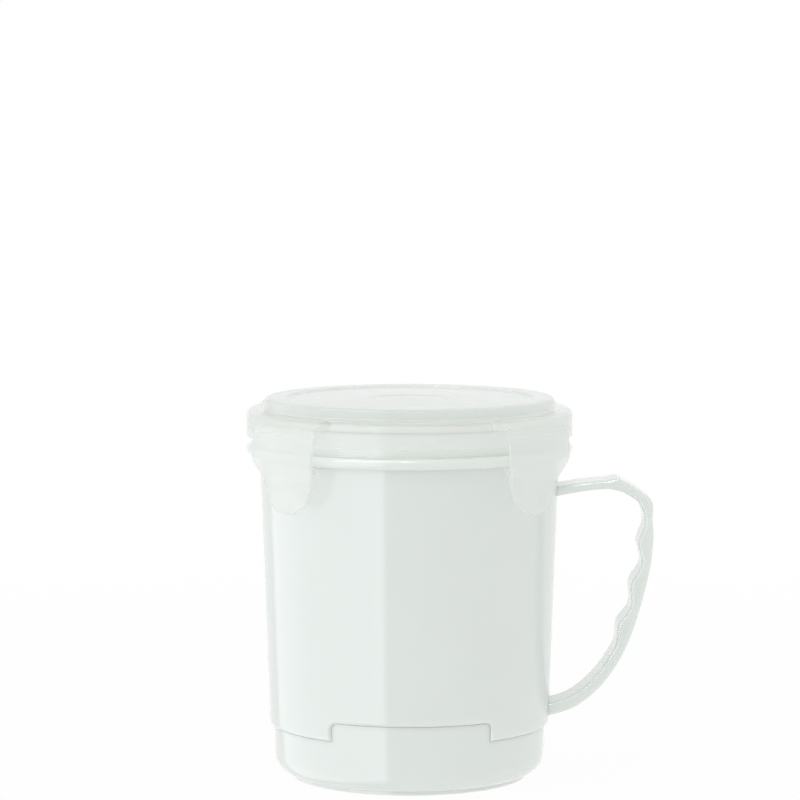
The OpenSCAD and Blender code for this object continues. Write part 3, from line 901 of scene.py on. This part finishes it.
def clear_plastic(finishes):
    """Translucent natural polypropylene: milky, more so at a slant, with hardly any shadow of its own."""
    bench = moulded(
        "clear_plastic_finish", finishes.milk, finishes.milk_rough, clouds=(50, 4), cloud_shade=0.98,
        gloss=(160, 5, 0.6), gloss_shares=(0.75, 1.3), grain=(280, 2), grain_h=3e-6)
    set_inputs(bench.shader, {"IOR": PLASTIC_IOR, "Specular IOR Level": finishes.milk_mirror})
    slant = bench.add("ShaderNodeLayerWeight").outputs["Facing"]
    cover = bench.add("ShaderNodeMix")
    bench.link(bench.any_ray(*LIGHT_RAYS), cover.inputs["Factor"])
    bench.link(bench.map_range(slant, 0, 1, finishes.milk_cover, finishes.milk_slant), cover.inputs["A"])
    cover.inputs["B"].default_value = finishes.milk_shade
    bench.link(cover.outputs["Result"], bench.shader.inputs["Alpha"])
    return bench.material


def seal_silicone(finishes):
    """Milky silicone rubber with a matt skin."""
    bench = moulded(
        "seal_silicone_finish", finishes.seal, finishes.seal_rough, clouds=(90, 5), cloud_shade=0.95,
        gloss=(300, 4), gloss_shares=(0.8, 1.16), grain=(1500, 2), grain_h=1e-5)
    return bench.material


FINISHES = {"white_plastic": white_plastic, "clear_plastic": clear_plastic, "seal_silicone": seal_silicone}


def finish(slot, settings):
    """The material of a slot, made once."""
    return bpy.data.materials.get(f"{slot}_finish") or FINISHES[slot](settings.finishes)


class SOUPMUG_OT_cup(bpy.types.Operator):
    """Build the inner cup with its rim flange and lip"""
    bl_idname = "soup_mug.cup"
    bl_label = "Inner cup"

    def execute(self, context):
        mug = context.scene.soup_mug
        add_piece("cup_shell", cup_mesh(mug.body), mug, "white_plastic", "mug", "inner_cup")
        return {"FINISHED"}


class SOUPMUG_OT_sleeve(bpy.types.Operator):
    """Build the outer sleeve with its stepped lower edge"""
    bl_idname = "soup_mug.sleeve"
    bl_label = "Outer sleeve"

    def execute(self, context):
        mug = context.scene.soup_mug
        add_piece("sleeve_shell", sleeve_mesh(mug.body), mug, "white_plastic", "mug", "outer_sleeve")
        return {"FINISHED"}


class SOUPMUG_OT_base(bpy.types.Operator):
    """Build the base cap with its tabs and foot ring"""
    bl_idname = "soup_mug.base"
    bl_label = "Base cap"

    def execute(self, context):
        mug = context.scene.soup_mug
        add_piece("base_shell", base_mesh(mug.body), mug, "white_plastic", "mug", "base_cap")
        return {"FINISHED"}


class SOUPMUG_OT_handle(bpy.types.Operator):
    """Build the handle with its thumb rest and finger bumps"""
    bl_idname = "soup_mug.handle"
    bl_label = "Handle"

    def execute(self, context):
        mug = context.scene.soup_mug
        add_piece("handle_grip", handle_mesh(mug.body, mug.handle), mug, "white_plastic", "mug", "handle")
        return {"FINISHED"}


class SOUPMUG_OT_lid(bpy.types.Operator):
    """Build the lid with its four ears, and the seal ring in it"""
    bl_idname = "soup_mug.lid"
    bl_label = "Lid and seal"

    def execute(self, context):
        mug = context.scene.soup_mug
        add_piece("lid_shell", lid_mesh(mug.body, mug.lid), mug, "clear_plastic", "lid", "lid")
        add_piece("seal_ring", seal_mesh(mug.body, mug.lid), mug, "seal_silicone", "lid", "lid_gasket")
        return {"FINISHED"}


class SOUPMUG_OT_flaps(bpy.types.Operator):
    """Build the four locking flaps and the film hinges that join them to the lid"""
    bl_idname = "soup_mug.flaps"
    bl_label = "Locking flaps"

    def execute(self, context):
        mug = context.scene.soup_mug
        for body, hinge in HINGES.items():
            turned = math.atan2(hinge.y, hinge.x)
            panel = flap_mesh(mug.body, mug.lid, mug.flap, turned)
            add_piece(f"{body}_panel", panel, mug, "clear_plastic", body, body)
            strip = film_mesh(mug.lid, mug.flap, turned)
            film = smooth_object(f"{body}_film", strip, finish("clear_plastic", mug))
            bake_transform(film)
        return {"FINISHED"}


# Colours of the light from all round, of the plain background and of the floor's paper
FILL_TINT = (0.96, 1, 0.975, 1)
WHITE = (1, 1, 1, 1)
PAPER = (0.9, 0.9, 0.9, 1)
# Where the floor starts to fade, as a share of the distance at which it has faded
FADE_START_SHARE = 0.25
# How near and how far the camera sees, as shares of its distance and of half the floor's width
CLIP_NEAR_SHARE = 0.02
CLIP_FAR_SHARE = 4
# Faces of translucent plastic that a ray of light may pass
LID_WALLS = 32


def aim_at(made, place, aim):
    """Puts a lamp or the camera in its place and turns it to a point."""
    made.location = place
    made.rotation_mode = "QUATERNION"
    made.rotation_quaternion = (aim - Vector(place)).to_track_quat("-Z", "Y")


def add_lamp(name, aim, power, place, size, tint):
    """A rectangular lamp that faces a point and doesn't show itself."""
    light = bpy.data.lights.new(name, "AREA")
    light.shape = "RECTANGLE"
    light.size, light.size_y = size
    light.energy = power
    light.color = tint
    lamp = add_object(name, light)
    lamp.visible_camera = False
    aim_at(lamp, place, aim)
    return lamp


def fade_lamp(light, far):
    """Lets a lamp's light fall off from its one side to the other."""
    bench = NodeBench(light)
    place = bench.add("ShaderNodeNewGeometry")
    apart = bench.add("ShaderNodeSeparateXYZ")
    bench.link(place.outputs["Parametric"], apart.inputs[0])
    fall = bench.map_range(apart.outputs["X"], 0, 1, far, 1)
    bench.link(fall, bench.tree.nodes["Emission"].inputs["Strength"])


def floor_material(stage):
    """White paper that takes the mug's shadow near it and fades to plain white further off."""
    bench = MaterialBench("floor")
    bench.tree.nodes.remove(bench.shader)
    paper = bench.add("ShaderNodeBsdfDiffuse")
    paper.inputs["Color"].default_value = PAPER
    plain = bench.add("ShaderNodeEmission")
    away = bench.add("ShaderNodeVectorMath", operation="LENGTH")
    bench.link(bench.place, away.inputs[0])
    fade = bench.map_range(
        away.outputs["Value"], stage.fade * FADE_START_SHARE, stage.fade, stage.floor_white, 1, "SMOOTHSTEP")
    share = bench.add("ShaderNodeMix")
    bench.link(bench.any_ray(*SEEN_RAYS), share.inputs["Factor"])
    share.inputs["A"].default_value = stage.floor_glow
    bench.link(fade, share.inputs["B"])
    bench.show_mix(share.outputs["Result"], paper, plain, "Material Output")
    return bench.material


class SOUPMUG_OT_stage(bpy.types.Operator):
    """Set up the camera, the lamps, the white surroundings and the floor"""
    bl_idname = "soup_mug.stage"
    bl_label = "Stage"

    def execute(self, context):
        stage = context.scene.soup_mug.stage
        self.add_camera(context.scene, stage)
        self.add_lamps(stage)
        self.add_world(context.scene, stage)
        self.add_floor(stage)
        return {"FINISHED"}

    def add_camera(self, scene, stage):
        camera = add_object("camera", bpy.data.cameras.new("camera"))
        turned, rise = stage.camera_turn, stage.camera_rise
        back = Vector((math.sin(turned) * math.cos(rise), -math.cos(turned) * math.cos(rise), math.sin(rise)))
        place = UP * stage.mug_middle + back * stage.camera_distance
        aim_at(camera, place, Vector((-stage.look_left, 0, stage.look_height)))
        camera.data.lens = camera.data.sensor_width * stage.focal
        camera.data.clip_start = stage.camera_distance * CLIP_NEAR_SHARE
        camera.data.clip_end = stage.floor_half * CLIP_FAR_SHARE
        scene.camera = camera
        scene.view_settings.view_transform = "Standard"
        scene.cycles.transparent_max_bounces = LID_WALLS

    def add_lamps(self, stage):
        middle = UP * stage.mug_middle
        add_lamp(
            "key_lamp", middle, stage.key_power, place=(-0.75, -0.55, 0.55), size=(0.28, 0.36),
            tint=(0.97, 0.99, 1))
        add_lamp(
            "top_lamp", middle, stage.top_power, place=(0.05, -0.1, 1), size=(0.4, 0.4), tint=(1, 1, 0.99))
        away = Vector((-math.sin(stage.panel_turn), -math.cos(stage.panel_turn), 0)) * stage.panel_distance
        wide = 2 * stage.panel_distance * math.tan(stage.panel_width / 2)
        power = stage.panel_light * math.pi * wide * wide
        panel = add_lamp("left_panel", ORIGIN, power, place=away, size=(wide, wide), tint=(0.86, 0.92, 1))
        panel.visible_diffuse = False
        fade_lamp(panel.data, stage.panel_far)
        edge = add_lamp(
            "edge_light", middle, stage.edge_power, place=(-0.35, -0.45, 0.95), size=(1.3, 0.3),
            tint=(0.96, 0.98, 1))
        edge.visible_diffuse = False

    def add_world(self, scene, stage):
        scene.world = bpy.data.worlds.new("studio")
        bench = NodeBench(scene.world)
        light = bench.tree.nodes["Background"]
        set_inputs(light, {"Color": FILL_TINT, "Strength": stage.fill})
        white = bench.add("ShaderNodeBackground")
        white.inputs["Color"].default_value = WHITE
        bench.show_mix(bench.any_ray(*SEEN_RAYS), light, white, "World Output")

    def add_floor(self, stage):
        bm = bmesh.new()
        bmesh.ops.create_grid(bm, x_segments=1, y_segments=1, size=stage.floor_half)
        bmesh.ops.translate(bm, verts=bm.verts[:], vec=UP * (FOOT_Z - NEAR))
        floor = mesh_object("floor", bm, floor_material(stage))
        floor.visible_glossy = False


STEPS = [
    SOUPMUG_OT_cup, SOUPMUG_OT_sleeve, SOUPMUG_OT_base, SOUPMUG_OT_handle, SOUPMUG_OT_lid, SOUPMUG_OT_flaps,
    SOUPMUG_OT_stage,
]


class SoupMug(bpy.types.PropertyGroup):
    """All sizes and finishes of the mug."""
    __annotations__ = {name: PointerProperty(type=group) for name, group in GROUPS.items()}


class SOUPMUG_PT_panel(bpy.types.Panel):
    """Lists the steps and the sizes"""
    bl_idname = "SOUPMUG_PT_panel"
    bl_label = "Soup mug"
    bl_space_type = "VIEW_3D"
    bl_region_type = "UI"
    bl_category = "Soup mug"

    def draw(self, context):
        for step in STEPS:
            self.layout.operator(step.bl_idname)
        for name, group in GROUPS.items():
            box = self.layout.box()
            box.label(text=name.capitalize())
            for key in group.__annotations__:
                box.prop(getattr(context.scene.soup_mug, name), key)


CLASSES = [*GROUPS.values(), SoupMug, *STEPS, SOUPMUG_PT_panel]


def register():
    for cls in CLASSES:
        bpy.utils.register_class(cls)
    bpy.types.Scene.soup_mug = PointerProperty(type=SoupMug)


def unregister():
    del bpy.types.Scene.soup_mug
    for cls in reversed(CLASSES):
        bpy.utils.unregister_class(cls)


def main():
    register()
    bpy.ops.soup_mug.cup()
    bpy.ops.soup_mug.sleeve()
    bpy.ops.soup_mug.base()
    bpy.ops.soup_mug.handle()
    bpy.ops.soup_mug.lid()
    bpy.ops.soup_mug.flaps()
    bpy.ops.soup_mug.stage()


if __name__ == "__main__":
    main()
